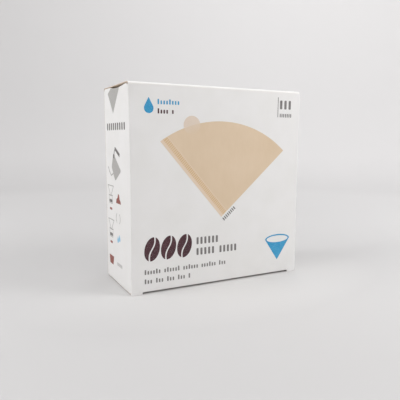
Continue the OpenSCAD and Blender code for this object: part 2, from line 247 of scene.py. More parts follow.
def innerBoard():
    material, tree, shader = newMaterial("innerBoard")
    strands = noiseAt(tree, place(tree, (1, 1, 6)), pulp["strandScale"], 6.0, 0.65)
    specks = rampOf(tree, noiseAt(tree, place(tree), pulp["speckScale"], 2.0), 0.62, 0.72)
    mottle = rampOf(tree, strands, 0.35, 0.65)
    colour = mixOf(tree, mottle, linear(pulp["dark"]), linear(pulp["light"]))
    specks = mathOf(tree, "MULTIPLY", specks, pulp["specks"])
    colour = mixOf(tree, specks, colour, linear(pulp["speck"]))
    rough = rampOf(tree, strands, 0.2, 0.8, 0.78, 0.95)
    normal = bumpOf(tree, strands, 0.3, pulp["strandDepth"])
    finishShader(tree, shader, colour, rough, normal, pulp["shine"])
    return material


def rawEdge():
    material, tree, shader = newMaterial("rawEdge")
    plies = noiseAt(tree, place(tree), pulp["plyScale"], 3.0)
    mottle = rampOf(tree, plies, 0.4, 0.6)
    colour = mixOf(tree, mottle, linear(pulp["edge"]), linear(pulp["edgeDark"]))
    rough = rampOf(tree, plies, 0.2, 0.8, 0.8, 0.95)
    finishShader(tree, shader, colour, rough, bumpOf(tree, plies, 0.4, pulp["plyDepth"]))
    return material


white, inner, raw = coatedBoard(), innerBoard(), rawEdge()
print("board materials made")


# The carton's sheet: four panels, the glued flap and the four dust flaps

carton = dict(
    foldR=0.8, frontTop=height - 1.75, backEdge=1.05, backGap=0.25, shoulder=0.2,
    frontLow=1.35, footW=7.0, footSlope=0.25,  # the front panel stands on two corner feet
    dustL=38.0, dustHalf=22.0, dustCornerR=6.0, dustSlack=0.9, slit=0.03, lowerFlap=0.5,  # dust flaps
    glueW=14.0, glueInset=4.0, glueTaper=3.5, glueGap=0.03,  # the glued flap
    pinch=0.5, hollow=0.2,  # how far the panels draw in between the carton's ends
    dent=1.0, dentW=4.0, dentH=16.0,  # the front panel eases back beside its upper left corner
    # Top of each side's dust flap fold below the carton's top, front to rear
    sagLeft=[(-24, 0.85), (-22, 0.82), (-19, 0.85), (-15, 1.2), (-8, 1.75), (0, 1.8), (6, 1.5),
             (9.5, 1.05), (12, 0.76), (16, 0.62), (24, 0.62)],
    sagRight=[(-24, 1.1), (-22, 1.15), (-10, 1.9), (3, 2.5), (14, 2.0), (22, 1.25), (24, 1.1)])
glueY = halfD - board - carton["glueGap"]  # outer face of the glued flap
foldSteps = 6  # faces across a fold


# The panels of a filled carton draw in a little between its ends
def drawIn(x, y, z):
    along = 1 - (2 * z / height - 1) ** 2
    if along <= 0:
        return x, y, z
    outX, outY = min(1, abs(x) / halfW), min(1, abs(y) / halfD)
    sideways = carton["pinch"] * along * (0.75 - 0.25 * y / halfD) * outX ** 4  # most at the front
    inwards = carton["hollow"] * along * (1 - outX ** 2) * outY ** 4
    if y < 0:
        beside = clamp(1 - (x + halfW) / carton["dentW"]) ** 2
        beside *= ease(z, height - carton["dentH"], height - 2)
        inwards += carton["dent"] * beside * outY ** 8
    return x - sideways * (1 if x > 0 else -1), y - inwards * (1 if y > 0 else -1), z


def sagAt(side, y):  # height of a dust flap's fold
    return height - throughPoints(carton["sagLeft"] if side < 0 else carton["sagRight"], y)


def panelStops(low, high, extra=()):  # closer together beside the folds
    near = [0.35, 0.9, 2.0]
    stops = spread(low, high, 3.0) + [low + n for n in near] + [high - n for n in near]
    stops += [e for e in extra if low < e < high]
    return sorted(set(round(s, 4) for s in stops))


# Columns of the wall from the back panel's free edge, clockwise seen from above:
# (x, y, top, bottom, fold wear and painted highlight)
def wallColumns():
    c, r = carton, carton["foldR"]
    notch, slit = c["dustHalf"], c["slit"]
    flapEnds = (notch, -notch, notch + slit, -notch - slit)
    backTop, backLow, sideLow = height - c["backEdge"], c["backEdge"], c["lowerFlap"] + r
    foot = halfW - c["footW"]
    feet = (foot, -foot, foot - c["footSlope"], -foot + c["footSlope"])
    out = []

    # A quarter turn from one panel to the next, whose ends may stand at other heights
    def fold(cx, cy, start, tops, lows):
        for k, (x, y) in enumerate(arc(cx, cy, r, start, start - 90, foldSteps)):
            t = k / foldSteps
            top, low = (ends[0] * (1 - t) + ends[1] * t for ends in (tops, lows))
            out.append((x, y, top, low, sin(pi * t)))

    def sideTop(side, y):
        if abs(y) <= notch:
            return sagAt(side, y) - r
        return min(sagAt(side, notch if y > 0 else -notch) - r + c["shoulder"], c["frontTop"])

    for x in panelStops(-halfW + c["backGap"], halfW - r):
        out.append((x, halfD, backTop, backLow, 0))
    fold(halfW - r, halfD - r, 90, (backTop, sideTop(1, halfD)), (backLow, sideLow))
    for y in reversed(panelStops(-halfD + r + slit, halfD - r, flapEnds)):
        out.append((halfW, y, sideTop(1, y), sideLow, 0))
    fold(halfW - r, -halfD + r, 0, (sideTop(1, -halfD), c["frontTop"]), (0, 0))
    for x in reversed(panelStops(-halfW + r, halfW - r, feet)):
        out.append((x, -halfD, c["frontTop"], 0 if abs(x) >= foot else c["frontLow"], 0))
    fold(-halfW + r, -halfD + r, -90, (c["frontTop"], sideTop(-1, -halfD)), (0, 0))
    for y in panelStops(-halfD + r + slit, glueY - r, flapEnds):
        out.append((-halfW, y, sideTop(-1, y), sideLow, 0))
    glueTop, glueLow = height - c["glueInset"], c["glueInset"]
    fold(-halfW + r, glueY - r, 180, (sideTop(-1, halfD), glueTop), (sideLow, glueLow))
    for x in spread(-halfW + r, -halfW + c["glueW"], 2.2)[1:]:
        taper = c["glueTaper"] * (x + halfW - r) / (c["glueW"] - r)
        out.append((x, glueY, glueTop - taper, glueLow + taper, 0))
    return out


# Points up a panel as shares of its height, closer together towards its two ends
wallRows = ([0, 0.006, 0.014, 0.028, 0.05, 0.08] + [0.12 + 0.04 * i for i in range(20)]
            + [0.92, 0.95, 0.972, 0.986, 0.994, 1])


def edgeWearAndHighlight(t):  # folds wear, and get the most painted highlight, towards the carton's ends
    return 0.35 + 0.65 * ease(abs(t - 0.5), 0.3, 0.5)


def buildWall(bm):
    columns, wearAndHighlight = [], []
    for x, y, top, low, bend in wallColumns():
        columns.append([drawIn(x, y, low + t * (top - low)) for t in wallRows])
        wearAndHighlight.append([bend * edgeWearAndHighlight(t) for t in wallRows])
    addPatch(bm, columns, wearAndHighlight)


# A dust flap from its fold on the side panel inwards, its free end with round corners
def dustColumns(side, upper):
    c, r = carton, carton["foldR"]
    notch, cornerR = c["dustHalf"], c["dustCornerR"]
    straight = c["dustL"] - cornerR
    rear = halfD if side > 0 else glueY
    ys = [y for y in panelStops(-halfD + r, rear - r, (notch, -notch)) if abs(y) <= notch + 1e-6]
    line = [(r * (1 - cos(t)), r * sin(t) - r, sin(2 * t)) for t in map(radians, range(0, 91, 15))]
    line += [(inwards, 0, 0) for inwards in spread(r, straight, 2.6)[1:]]
    line += [(c["dustL"] - cornerR * (1 - sin(radians(a))), 0, 0)
             for a in (12, 24, 36, 48, 58, 68, 77, 85, 90)]
    columns, wearAndHighlight = [], []
    for y in ys:
        column, wornAndHighlit = [], []
        for inwards, drop, bend in line:
            past = max(0, inwards - straight)
            half = notch - (cornerR - sqrt(max(0, cornerR ** 2 - past ** 2)))
            flapY = y * half / notch
            if upper:
                slack = c["dustSlack"] * (max(0, inwards - r) / c["dustL"]) ** 2
                z = sagAt(side, flapY) + drop - slack
            else:
                z = c["lowerFlap"] - drop
            column.append(drawIn(side * (halfW - inwards), flapY, z))
            wornAndHighlit.append(bend)
        columns.append(column if upper else column[::-1])
        wearAndHighlight.append(wornAndHighlit if upper else wornAndHighlit[::-1])
    if side > 0:
        columns, wearAndHighlight = columns[::-1], wearAndHighlight[::-1]
    return columns, wearAndHighlight


sheet = bmesh.new()
buildWall(sheet)
for side in (-1, 1):
    for upper in (True, False):
        addPatch(sheet, *dustColumns(side, upper))
makePiece(sheet, "cartonSheet", "carton", [white, inner, raw], ["carton_body"], board)


# The two closures: a panel, its bend and the tuck flap

closure = dict(  # what both have in common
    reach=depth - 2 * board - 0.3, halfTuck=halfW - board - 1.0, tuckL=15.0, shoulder=1.2,
    cornerR=8.0, thick=board - 0.02)
lidShape = dict(
    closure, name="lidSheet", body="lid", node="lid", creaseZ=height - board, up=1,
    halfPanel=halfW - 0.3, bendR=1.6,
    # The lid hangs a little between its bend and its crease, less towards the two ends
    hang=[(-24, 0), (-19, 0.02), (-8, 0.2), (4, 0.3), (14, 0.2), (21, 0.02), (24, 0)], ends=0.2)
bottomShape = dict(
    closure, name="bottomSheet", body="bottom_flap", node="bottom_flap", creaseZ=board, up=-1,
    halfPanel=halfW - board - 0.3, bendR=2.4,
    hang=[(-24, 0), (0, 0), (24, 0)], ends=0)


# Outer line of a closure from its crease to the tuck flap's tip: (y, rise, shoulder lengths past the bend)
def closureLine(shape):
    r, reach = shape["bendR"], shape["reach"]
    bendY = -sqrt((reach - r) ** 2 - (r - board) ** 2)
    turn = 180 + degrees(asin((r - board) / (reach - r)))
    tip = 180 + degrees(asin((shape["tuckL"] + board) / reach))
    shoulder = degrees(shape["shoulder"] / reach)
    line = [(y, z, 0) for y, z in arc(0, 0, board, -80, 90, 9)]
    line += [(y, board, 0) for y in spread(0, bendY, 2.4)[1:-1]]
    line += [(y, z, 0) for y, z in arc(bendY, board - r, r, 90, turn, 9)]
    angles = spread(turn, turn + shoulder, shoulder / 5)[1:] + spread(turn + shoulder, tip, 0.9)[1:]
    for angle in angles:
        t = radians(angle)
        line.append((reach * cos(t), reach * sin(t), (angle - turn) / shoulder))
    return line


def buildClosure(shape):
    bm = bmesh.new()
    crease = halfD - board
    line = closureLine(shape)
    bendR, cornerR = shape["bendR"], shape["cornerR"]
    straight = shape["tuckL"] - cornerR
    columns, wearAndHighlight = [], []
    for u in sorted(spread(-1, 1, 0.05) + [-0.997, -0.985, 0.985, 0.997]):
        column, wornAndHighlit = [], []
        for y, rise, past in line:
            below = clamp(-rise - straight, 0, cornerR)
            half = shape["halfPanel"] + (shape["halfTuck"] - shape["halfPanel"]) * clamp(past)
            half -= cornerR - sqrt(cornerR ** 2 - below ** 2)
            share = 1 - (1 - shape["ends"]) * abs(u) ** 3
            drop = throughPoints(shape["hang"], y + crease) * share if not past else 0
            column.append((u * half, crease + y, shape["creaseZ"] + shape["up"] * (rise - drop)))
            onBend = y < -halfD and not past
            # The bend is painted lighter, as worn coating and as a painted highlight, most towards its
            # ends
            bend = sin(pi * clamp((rise - board + bendR) / bendR)) if onBend else 0
            wornAndHighlit.append(bend * (0.3 + 0.7 * ease(abs(u), 0.8, 1)))
        columns.append(column)
        wearAndHighlight.append(wornAndHighlit)
    if shape["up"] < 0:
        columns, wearAndHighlight = columns[::-1], wearAndHighlight[::-1]
    addPatch(bm, columns, wearAndHighlight)
    makePiece(bm, shape["name"], shape["body"], [white, inner, raw], [shape["node"]],
              shape["thick"])


buildClosure(lidShape)
buildClosure(bottomShape)


# The stack of folded cone filters

filters = dict(
    count=96, paper=0.26, x=-58.6, z=1.25, front=-19.3, back=22.2,
    side=104.3, trim=1.2, rise=0.24, tabR=8.8, tabAngle=21.5,
    jitter=0.28, mostJitter=0.7, tilt=0.12, wave=0.35, seed=11,  # how unevenly the leaves lie
    tone=(222, 203, 176), shade=(206, 184, 153), crepeScale=1400, crepeDepth=0.00012,
    cloudScale=300, shine=0.2)


def roundEdge(side, rise):  # centre (on the diagonal) and radius of a filter's round edge
    chord, lift = side / sqrt(2), rise * side
    radius = (chord ** 2 + lift ** 2) / (2 * lift)
    return (chord + lift - radius) / sqrt(2), radius


def tabReach(side, angle):  # distance from the point to the middle of the grip tab
    return side * (1 - 0.038 * sin(2 * radians(angle)) / sin(pi / 4))


# Distance from the point to the outline at an angle from the lower edge, the grip tab included
def leafReach(angle, side):
    along, radius = roundEdge(side, filters["rise"])
    a, tabR = radians(angle), filters["tabR"]
    mid = along * (cos(a) + sin(a))
    reach = mid + sqrt(max(0, mid * mid - 2 * along * along + radius * radius))
    centre = tabReach(side, filters["tabAngle"])
    off = radians(angle - (90 - filters["tabAngle"]))
    if abs(centre * sin(off)) < tabR:
        reach = max(reach, centre * cos(off) + sqrt(tabR ** 2 - (centre * sin(off)) ** 2))
    return reach


def crepePaper():
    material, tree, shader = newMaterial("crepePaper")
    turned = place(tree, (1, 1, 0.16), (0, radians(-45), 0))
    crepe = noiseAt(tree, turned, filters["crepeScale"], 4.0, 0.6)
    clouds = noiseAt(tree, place(tree), filters["cloudScale"], 4.0)
    mottle = rampOf(tree, clouds, 0.3, 0.7)
    colour = mixOf(tree, mottle, linear(filters["tone"]), linear(filters["shade"]))
    rough = rampOf(tree, crepe, 0.2, 0.8, 0.82, 0.96)
    normal = bumpOf(tree, crepe, 0.5, filters["crepeDepth"])
    finishShader(tree, shader, colour, rough, normal, filters["shine"])
    return material


def buildFilters():
    f = filters
    draw = random.Random(f["seed"])
    bm = bmesh.new()
    middle = 90 - f["tabAngle"]
    lean = degrees(asin(f["tabR"] / f["side"]))
    angles = sorted(set(spread(0, middle - lean, 4) + spread(middle - lean, middle + lean, 0.8)
                        + spread(middle + lean, 90, 4)))
    pitch = (f["back"] - f["front"]) / f["count"]
    for i in range(f["count"]):
        leafY = f["front"] + (i + 0.5) * pitch
        dx, dz = abs(draw.gauss(0, f["jitter"])), abs(draw.gauss(0, f["jitter"]))
        tilt = draw.gauss(0, f["tilt"])
        pointX, pointZ = f["x"] + min(dx, f["mostJitter"]), f["z"] + min(dz, f["mostJitter"])
        columns = []
        for angle in angles:
            reach = leafReach(angle, f["side"] - f["trim"])
            a = radians(clamp(angle + tilt, 0, 90))
            column = []
            for share in (0.012, 0.2, 0.4, 0.6, 0.75, 0.86, 0.94, 1.0):
                out = reach * share
                bow = f["wave"] * share ** 2 * sin(4.4 * a + 0.8) * sin(pi * (i + 0.5) / f["count"])
                column.append((pointX + out * cos(a), leafY + bow, pointZ + out * sin(a)))
            columns.append(column)
        addPatch(bm, columns)
    makePiece(bm, "filterLeaves", "carton", [crepePaper()], ["filter_stack"],
              f["paper"])


buildFilters()


# The print: flat shapes in panel millimetres, laid on the drawn-in panels

printed = dict(
    base=0.012, lift=0.05, darkLift=0.058,  # under side and face of the ink above the board
    grid=4.0, foldFrom=4.2, foldTo=0.8, foldGrid=0.25,  # finer over the dust flap's fold
    blockPitch=0.62, blockW=0.52, blockRound=0.3)  # pitch to height, width to pitch, corner to width


def onFront(x, z, lift):
    px, py, pz = drawIn(x, -halfD, z)
    return px, py - lift, pz


def onSide(y, z, lift):  # the left panel; y runs from the front panel to the back
    foldR = carton["foldR"]
    start = sagAt(-1, y) - foldR
    if z <= start:
        px, py, pz = drawIn(-halfW, y, z)
        return px - lift, py, pz
    turn = min(pi / 2, (z - start) / foldR)
    over = max(0, z - start - foldR * pi / 2)
    r = foldR + lift
    px, py, pz = drawIn(-halfW, y, start)
    return px + foldR - r * cos(turn) + over, py, start + r * sin(turn)


# Each outline is filled, cut along a grid so that it can follow the panel, and given a thickness
def buildPrint(name, shapes, material, node, lift=printed["lift"]):
    grid, foldStart = printed["grid"], height - printed["foldFrom"]
    bm = bmesh.new()
    kinds = bm.faces.layers.int.new("onSide")
    for panel, outline in shapes:
        face = bm.faces.new([bm.verts.new((a, 0, b)) for a, b in outline])
        face[kinds] = 1 if panel is onSide else 0
    corners = [v.co.copy() for v in bm.verts]
    for axis, normal in ((0, (1, 0, 0)), (2, (0, 0, 1))):
        low, high = min(c[axis] for c in corners), max(c[axis] for c in corners)
        stops = [grid * k for k in range(int(low / grid), int(high / grid) + 1)]
        if axis == 2:
            stops += spread(foldStart, height - printed["foldTo"], printed["foldGrid"])
        for stop in stops:
            if low < stop < high:
                point = [0, 0, 0]
                point[axis] = stop
                cut = [f for f in bm.faces if f[kinds] or stop < foldStart]
                parts = [e for f in cut for e in f.edges] + [v for f in cut for v in f.verts]
                bmesh.ops.bisect_plane(bm, geom=cut + list(dict.fromkeys(parts)),
                                       plane_co=point, plane_no=normal, dist=1e-5)
    bmesh.ops.triangulate(bm, faces=bm.faces[:])
    mesh = bmesh.new()
    for face in bm.faces:
        wrap = onSide if face[kinds] else onFront
        face.normal_update()
        points = [wrap(v.co.x, v.co.z, lift) for v in face.verts]
        if (face.normal.y > 0) == (wrap is onFront):
            points.reverse()
        mesh.faces.new([mesh.verts.new(Vector(p) * mm) for p in points])
    bm.free()
    makePiece(mesh, name, "carton", [material], [node], lift - printed["base"])


def on(panel, outlines):  # the outlines, each with the panel it is laid on
    return [(panel, outline) for outline in outlines]


def shifted(points, x, z, turn=0.0):
    return [(x + px * cos(turn) - pz * sin(turn), z + px * sin(turn) + pz * cos(turn))
            for px, pz in points]


def boxOf(x, z, w, h):  # a small block with round corners
    r = min(w, h) * printed["blockRound"]
    right, top = x + w - r, z + h - r
    points = []
    for k, (cx, cz) in enumerate(((right, top), (x + r, top), (x + r, z + r), (right, z + r))):
        points += arc(cx, cz, r, 90 * k, 90 * k + 90, 3)
    return points


# A row of upright blocks along a line that may be turned. One is left out at each gap, and every fourth
# one has the full height
def blockRow(x, z, length, size, gapEvery, low=1.0, turn=0.0, wide=printed["blockPitch"]):
    pitch = size * wide
    blocks = []
    for i in range(int(length / pitch)):
        if i % gapEvery != gapEvery - 1:
            outline = boxOf(i * pitch, 0, pitch * printed["blockW"], size * (low if i % 4 else 1))
            blocks.append(shifted(outline, x, z, turn))
    return blocks


def dropShape(x, z, size):
    radius = size * 0.32
    lean = degrees(acos(radius / (size - radius)))
    return [(x, z + size)] + arc(x, z + radius, radius, 90 - lean, lean - 270, 30)


def stroke(points, breadth):  # a drawn line of even breadth
    sides = ([], [])
    for i, (x, z) in enumerate(points):
        (ax, az), (bx, bz) = points[max(i - 1, 0)], points[min(i + 1, len(points) - 1)]
        length = hypot(bx - ax, bz - az)
        ox, oz = -(bz - az) / length * breadth / 2, (bx - ax) / length * breadth / 2
        sides[0].append((x + ox, z + oz))
        sides[1].append((x - ox, z - oz))
    return sides[0] + sides[1][::-1]


def ovalArc(halfWide, halfHigh, start, end, step):  # points on an upright oval, degrees
    turns = [radians(t) for t in spread(start, end, step)]
    return [(halfWide * cos(t), halfHigh * sin(t)) for t in turns]


# The pictured filter, its grip tab and its crimped seam
picture = dict(
    pointZ=42.4, side=62.5, tilt=3.8, rise=0.24, seamW=5.5, tabR=5.5, tabAngle=21.1,
    light=(229, 207, 180), dark=(220, 196, 165), tabLight=(231, 216, 202), tabDark=(225, 208, 190),
    behind=(227, 211, 195), behindR=5.45, behindSoft=0.25, behindShare=0.6,  # the tab seen through it
    fadeFrom=55.5, fadeTo=61.5,  # where the tab begins to show, outwards from the filter's point
    margin=(231, 210, 187), band=(226, 200, 165), crimp=(210, 173, 124),
    bandFrom=1.9, bandTo=5.0, bandSoft=0.3, crimpPitch=1.25,
    crepeScale=900, cloudScale=45, roughLow=0.42, roughHigh=0.52)
pictureTurn = radians(45 - picture["tilt"])


def inPicture(points):
    return shifted(points, 0, picture["pointZ"], pictureTurn)


def pictureEdge(startX, endX, steps):  # the round edge between two distances from the seam
    along, radius = roundEdge(picture["side"], picture["rise"])
    start = degrees(acos((startX - along) / radius))
    end = degrees(acos((endX - along) / radius))
    return arc(along, along, radius, start, end, steps)


def fieldShape():
    seamW, side = picture["seamW"], picture["side"]
    return inPicture([(seamW, 0), (side, 0)] + pictureEdge(side, seamW, 40)[1:])


def seamShape():
    seamW = picture["seamW"]
    return inPicture([(0, 0), (seamW, 0)] + pictureEdge(seamW, 0, 6))


def tabShape():  # the tab's outline past the round edge, and its centre
    side, angle = picture["side"], radians(picture["tabAngle"])
    reach = tabReach(side, picture["tabAngle"])
    cx, cz = reach * sin(angle), reach * cos(angle)
    along, edgeR = roundEdge(side, picture["rise"])
    ring = arc(cx, cz, picture["tabR"], -60, 300, 160)
    outside = [p for p in ring if hypot(p[0] - along, p[1] - along) > edgeR + 0.01]
    closing = pictureEdge(outside[-1][0], outside[0][0], 10)[1:-1]
    return inPicture(outside + closing), inPicture([(cx, cz)])[0]


marks = dict(
    block=4.4, smallBlock=2.9, low=0.74,  # heights, and the share that a low block has
    beanX=-51.6, beanZ=26.5, beanL=14.6, beanW=9.6, beanPitch=10.6, beanTurn=-14, furrow=0.9,
    besideX=-17.4, besideDown=1.55, besideL=20.0, besideLongL=31.4,  # the rows beside the beans
    belowZ=11.6, belowPitch=5.6, belowLongL=56.4, belowL=31.0,  # the rows below them
    topZ=height - 14.5, up=2.4, down=2.8, drop=9.0, topLongL=15, topL=11,  # the drop and its rows
    cornerMargin=5.6, cornerL=11, rule=0.45,  # the rows in the upper right corner
    coneMargin=5.9, coneZ=24.1, coneW=20.0,
    pointDown=1.2, pointL=12.5)  # the row below the pictured filter's point
sideMarks = dict(
    backY=depth * 0.29, frontY=-depth * 0.03, base=6.0, size=12.0, kettleRow=2.92,
    rowZ=height - 26.5, rowBlock=4.3, rowStart=-0.35 * depth, rowL=0.8 * depth,
    coneY=0.09 * depth, coneTop=height - 1.4, coneW=23.0)
cellPitch = (sideMarks["rowZ"] - sideMarks["base"] - marks["smallBlock"]) / 4


# The two halves of a coffee bean with its furrow between them
def beanHalves(x, z, turn):
    a, b = marks["beanW"] / 2, marks["beanL"] / 2
    gap = marks["furrow"] / 2
    furrow = [(0.16 * a * sin(pi * s), b * s) for s in spread(-0.93, 0.93, 0.12)]
    halves = []
    for sign in (-1, 1):
        middle = [(fx + sign * gap, fz) for fx, fz in furrow]
        halves.append(shifted(ovalArc(sign * a, b, 84, -84, 8) + middle, x, z, turn))
    return halves


def coneSign(x, z, w):  # the rim seen from above, and the cone below it
    rimH = w * 0.16
    hollowW, hollowH = w * 0.44, rimH * 0.72
    rim = ovalArc(w / 2, rimH, 0, 180, 7.5) + ovalArc(hollowW, hollowH, 180, 0, 7.5)
    body = [(-w / 2, 0)] + ovalArc(hollowW, hollowH, -180, 0, 7.5) + [(w / 2, 0), (0, -w * 0.72)]
    return [shifted(rim, x, z), shifted(body, x, z)]


def cell(y, row):  # where a pictogram stands on the side panel, row 0 lowest
    return y, sideMarks["base"] + row * cellPitch


def inCell(points, y, row):  # points in shares of a pictogram's size
    cy, cz = cell(y, row)
    return [(cy + px * sideMarks["size"], cz + pz * sideMarks["size"]) for px, pz in points]


def barInCell(left, low, w, h, row):  # a block in the rear column, in the same shares
    y, z = cell(sideMarks["backY"], row)
    size = sideMarks["size"]
    return boxOf(y + left * size, z + low * size, w * size, h * size)


# A cone dripper over its cup, in outline
def dripperShapes(y, row):
    thin = 0.045
    lines = [stroke([(-0.5, 1.0), (-0.09, 0.5)], thin),
             stroke([(0.5, 1.0), (0.09, 0.5)], thin),
             stroke([(-0.47, 0.985), (0.47, 0.985)], thin),
             stroke([(-0.34, 0.46), (0.34, 0.46)], thin * 1.6),
             stroke([(-0.3, 0.38), (-0.26, 0.04), (0.26, 0.04), (0.3, 0.38)], thin)]
    return [inCell(line, y, row) for line in lines]


# A kettle tipped to pour: its body and spout, then its bail handle, link and knob
def kettleShapes():
    y, row = sideMarks["frontY"] + 1.2, sideMarks["kettleRow"]
    body = [(0.66, 0.86), (0.28, 0.82), (-0.1, 0.55), (-0.57, 0.22), (-0.55, 0.12), (0.26, -0.34),
            (0.36, -0.34), (0.62, -0.05), (0.9, 0.3)]
    spout = stroke([(0.66, -0.02), (1.02, -0.14), (1.3, 0.05), (1.52, 0.3)], 0.07)
    handle = stroke([(0.34, 1.27), (0.2, 1.24), (-0.44, 0.94)], 0.17)
    link = stroke([(0.3, 1.24), (0.42, 1.1), (0.48, 0.9)], 0.07)
    knob = arc(0.5, 0.88, 0.13, -60, 240, 14)
    return [inCell(p, y, row) for p in (body, spout)], [inCell(p, y, row) for p in (handle, link, knob)]


m, s = marks, sideMarks
block, small, low = m["block"], m["smallBlock"], m["low"]
topX, topZ, topLowZ = m["beanX"] + m["drop"], m["topZ"] + m["up"], m["topZ"] - m["down"]
cornerX = halfW - m["cornerMargin"] - m["cornerL"]
coneX = halfW - m["coneMargin"] - m["coneW"] / 2
kettleBody, kettleLines = kettleShapes()

heap = [(-0.42, 0.16), (0.36, 0.16), (0.3, 0.36), (0.1, 0.46), (0.02, 0.66), (-0.14, 0.62), (-0.2, 0.4),
        (-0.36, 0.3)]
cup = [(-0.28, 0.36), (0.28, 0.36), (0.4, 0.82), (-0.4, 0.82)]
maroonShapes = []
for i in range(3):
    x = m["beanX"] + m["beanW"] / 2 + i * m["beanPitch"]
    maroonShapes += on(onFront, beanHalves(x, m["beanZ"], radians(m["beanTurn"])))
maroonShapes += on(onFront, blockRow(topX, topLowZ, m["topL"], small, 5, low))
maroonShapes += on(onSide, [inCell(heap, s["frontY"], 2), inCell(cup, s["backY"], 0)])
maroonShapes += on(onSide, [barInCell(-0.2, -0.31, 0.4, 0.12, row) for row in (1, 2)])

blueShapes = on(onFront, coneSign(coneX, m["coneZ"], m["coneW"]))
blueShapes += on(onFront, [dropShape(m["beanX"] + 0.4 * m["drop"], topLowZ, m["drop"])])
blueShapes += on(onFront, blockRow(topX, topZ, m["topLongL"], small, 9, low))
y, z = cell(s["frontY"], 1)
for across, up in ((0.127, -0.08), (-0.127, 0.02)):  # two drops side by side
    drop = dropShape(y + across * s["size"], z + up * s["size"], 0.36 * s["size"])
    blueShapes += on(onSide, [drop])

greyShapes = []
for x, z, length, size, gapEvery, share in (
        (m["besideX"], m["beanZ"], m["besideL"], block, 7, 1),
        (m["besideX"], m["beanZ"] - m["besideDown"] * block, m["besideLongL"], block, 6, 1),
        (m["beanX"], m["belowZ"], m["belowLongL"], small, 7, low),
        (m["beanX"], m["belowZ"] - m["belowPitch"], m["belowL"], small, 4, low),
        (cornerX, topZ, m["cornerL"], 1.28 * block, 7, 1),
        (cornerX, topLowZ, m["cornerL"], 0.8 * small, 9, 1)):
    greyShapes += on(onFront, blockRow(x, z, length, size, gapEvery, share))
greyShapes += on(onFront, [boxOf(cornerX - 4 * m["rule"], topLowZ, m["rule"], 2.9 * block)])
x, z = inPicture([(0, -m["pointDown"] * small)])[0]
greyShapes += on(onFront, blockRow(x, z, m["pointL"], 0.8 * small, 9, 1, pictureTurn))
greyShapes += on(onSide, [[(s["coneY"] + across * s["coneW"], s["coneTop"] - below * s["coneW"])
                           for across, below in ((-0.56, 0), (0.03, 0.65), (0.46, 0.12), (0.18, 0))]])
y, z = cell(s["frontY"] - s["size"] / 2, 0)
greyShapes += on(onSide, blockRow(y, z + s["size"] / 2, s["size"], 0.7 * small, 9))
greyShapes += on(onSide, kettleBody)
for middle in (0, 180):  # the two brackets between the heap and the drops
    bracket = stroke(arc(0.06, 1.2, 0.32, middle - 50, middle + 50, 8), 0.05)
    greyShapes += on(onSide, [inCell(bracket, s["frontY"], 1)])
for row in (1, 2):
    greyShapes += on(onSide, dripperShapes(s["backY"], row))

blackShapes = on(onSide, kettleLines)
blackShapes += on(onSide, blockRow(s["rowStart"], s["rowZ"], s["rowL"], s["rowBlock"], 20, wide=0.96))
blackShapes += on(onSide, [barInCell(-0.24, 0.09, 0.48, 0.16, row) for row in (1, 2)])
print("outlines of the print drawn")

inks = dict(  # two tones that waver, and the tone on the side panel where it is another one
    maroon=((64, 28, 38), (78, 38, 46), (142, 66, 52)),
    blue=((38, 150, 200), (62, 162, 208), (126, 192, 228)),
    grey=((114, 111, 110), (128, 125, 124), (176, 174, 171)),
    dark=((100, 96, 94), (118, 114, 112), None))
inkFinish = dict(
    toneScale=260, holeScale=3600, holes=0.5, roughLow=0.36, roughHigh=0.48, grain=0.08,
    tintEdge=2.0, tintSoft=0.5)  # the side's tone ends at this distance from the side panel


# Printing ink on the coating: the tone wavers a little and fine pinholes let the white through
def ink(name, tone, pale, sideTone):
    material, tree, shader = newMaterial(name)
    here = place(tree)
    density = rampOf(tree, noiseAt(tree, here, inkFinish["toneScale"], 4.0), 0.3, 0.7)
    colour = mixOf(tree, density, linear(tone), linear(pale))
    if sideTone:
        edge, soft = (inkFinish["tintEdge"] - halfW) * mm, inkFinish["tintSoft"] * mm
        onLeft = rampOf(tree, axesOf(tree, here)["X"], edge - soft, edge + soft, 1.0, 0.0)
        colour = mixOf(tree, onLeft, colour, linear(sideTone))
    specks = noiseAt(tree, here, inkFinish["holeScale"], 1.0)
    holes = rampOf(tree, specks, 0.68, 0.74, 0.0, inkFinish["holes"])
    colour = mixOf(tree, holes, colour, linear(coated["white"]))
    rough = rampOf(tree, density, 0, 1, inkFinish["roughLow"], inkFinish["roughHigh"])
    fibres = noiseAt(tree, here, coated["fibreScale"], 4.0)
    normal = bumpOf(tree, fibres, inkFinish["grain"], coated["fibreDepth"])
    finishShader(tree, shader, colour, rough, normal)
    return material


# The pictured paper: a warm tone, crepe lines, and the paler round of the tab behind it
def pictureInk(name, light, dark, tabCentre=None):
    p = picture
    material, tree, shader = newMaterial(name)
    here = place(tree)
    crepe = noiseAt(tree, place(tree, (1, 1, 0.22), (0, pictureTurn, 0)), p["crepeScale"], 4.0, 0.6)
    clouds = noiseAt(tree, here, p["cloudScale"], 3.0)
    tone = mathOf(tree, "ADD", mathOf(tree, "MULTIPLY", crepe, 0.25),
                  mathOf(tree, "MULTIPLY", clouds, 0.75))
    colour = mixOf(tree, rampOf(tree, tone, 0.25, 0.75), linear(dark), linear(light))
    if tabCentre:
        fromTab = distanceTo(tree, here, (tabCentre[0] * mm, -halfD * mm, tabCentre[1] * mm))
        edge, soft = p["behindR"] * mm, p["behindSoft"] * mm
        paler = rampOf(tree, fromTab, edge + soft, edge - soft, 0.0, p["behindShare"])
        fromPoint = distanceTo(tree, here, (0, -halfD * mm, p["pointZ"] * mm))
        fading = rampOf(tree, fromPoint, p["fadeFrom"] * mm, p["fadeTo"] * mm, 0.15, 1.0)
        colour = mixOf(tree, mathOf(tree, "MULTIPLY", paler, fading), colour, linear(p["behind"]))
    rough = rampOf(tree, clouds, 0.3, 0.7, p["roughLow"], p["roughHigh"])
    finishShader(tree, shader, colour, rough, bumpOf(tree, crepe, 0.12, coated["fibreDepth"]))
    return material


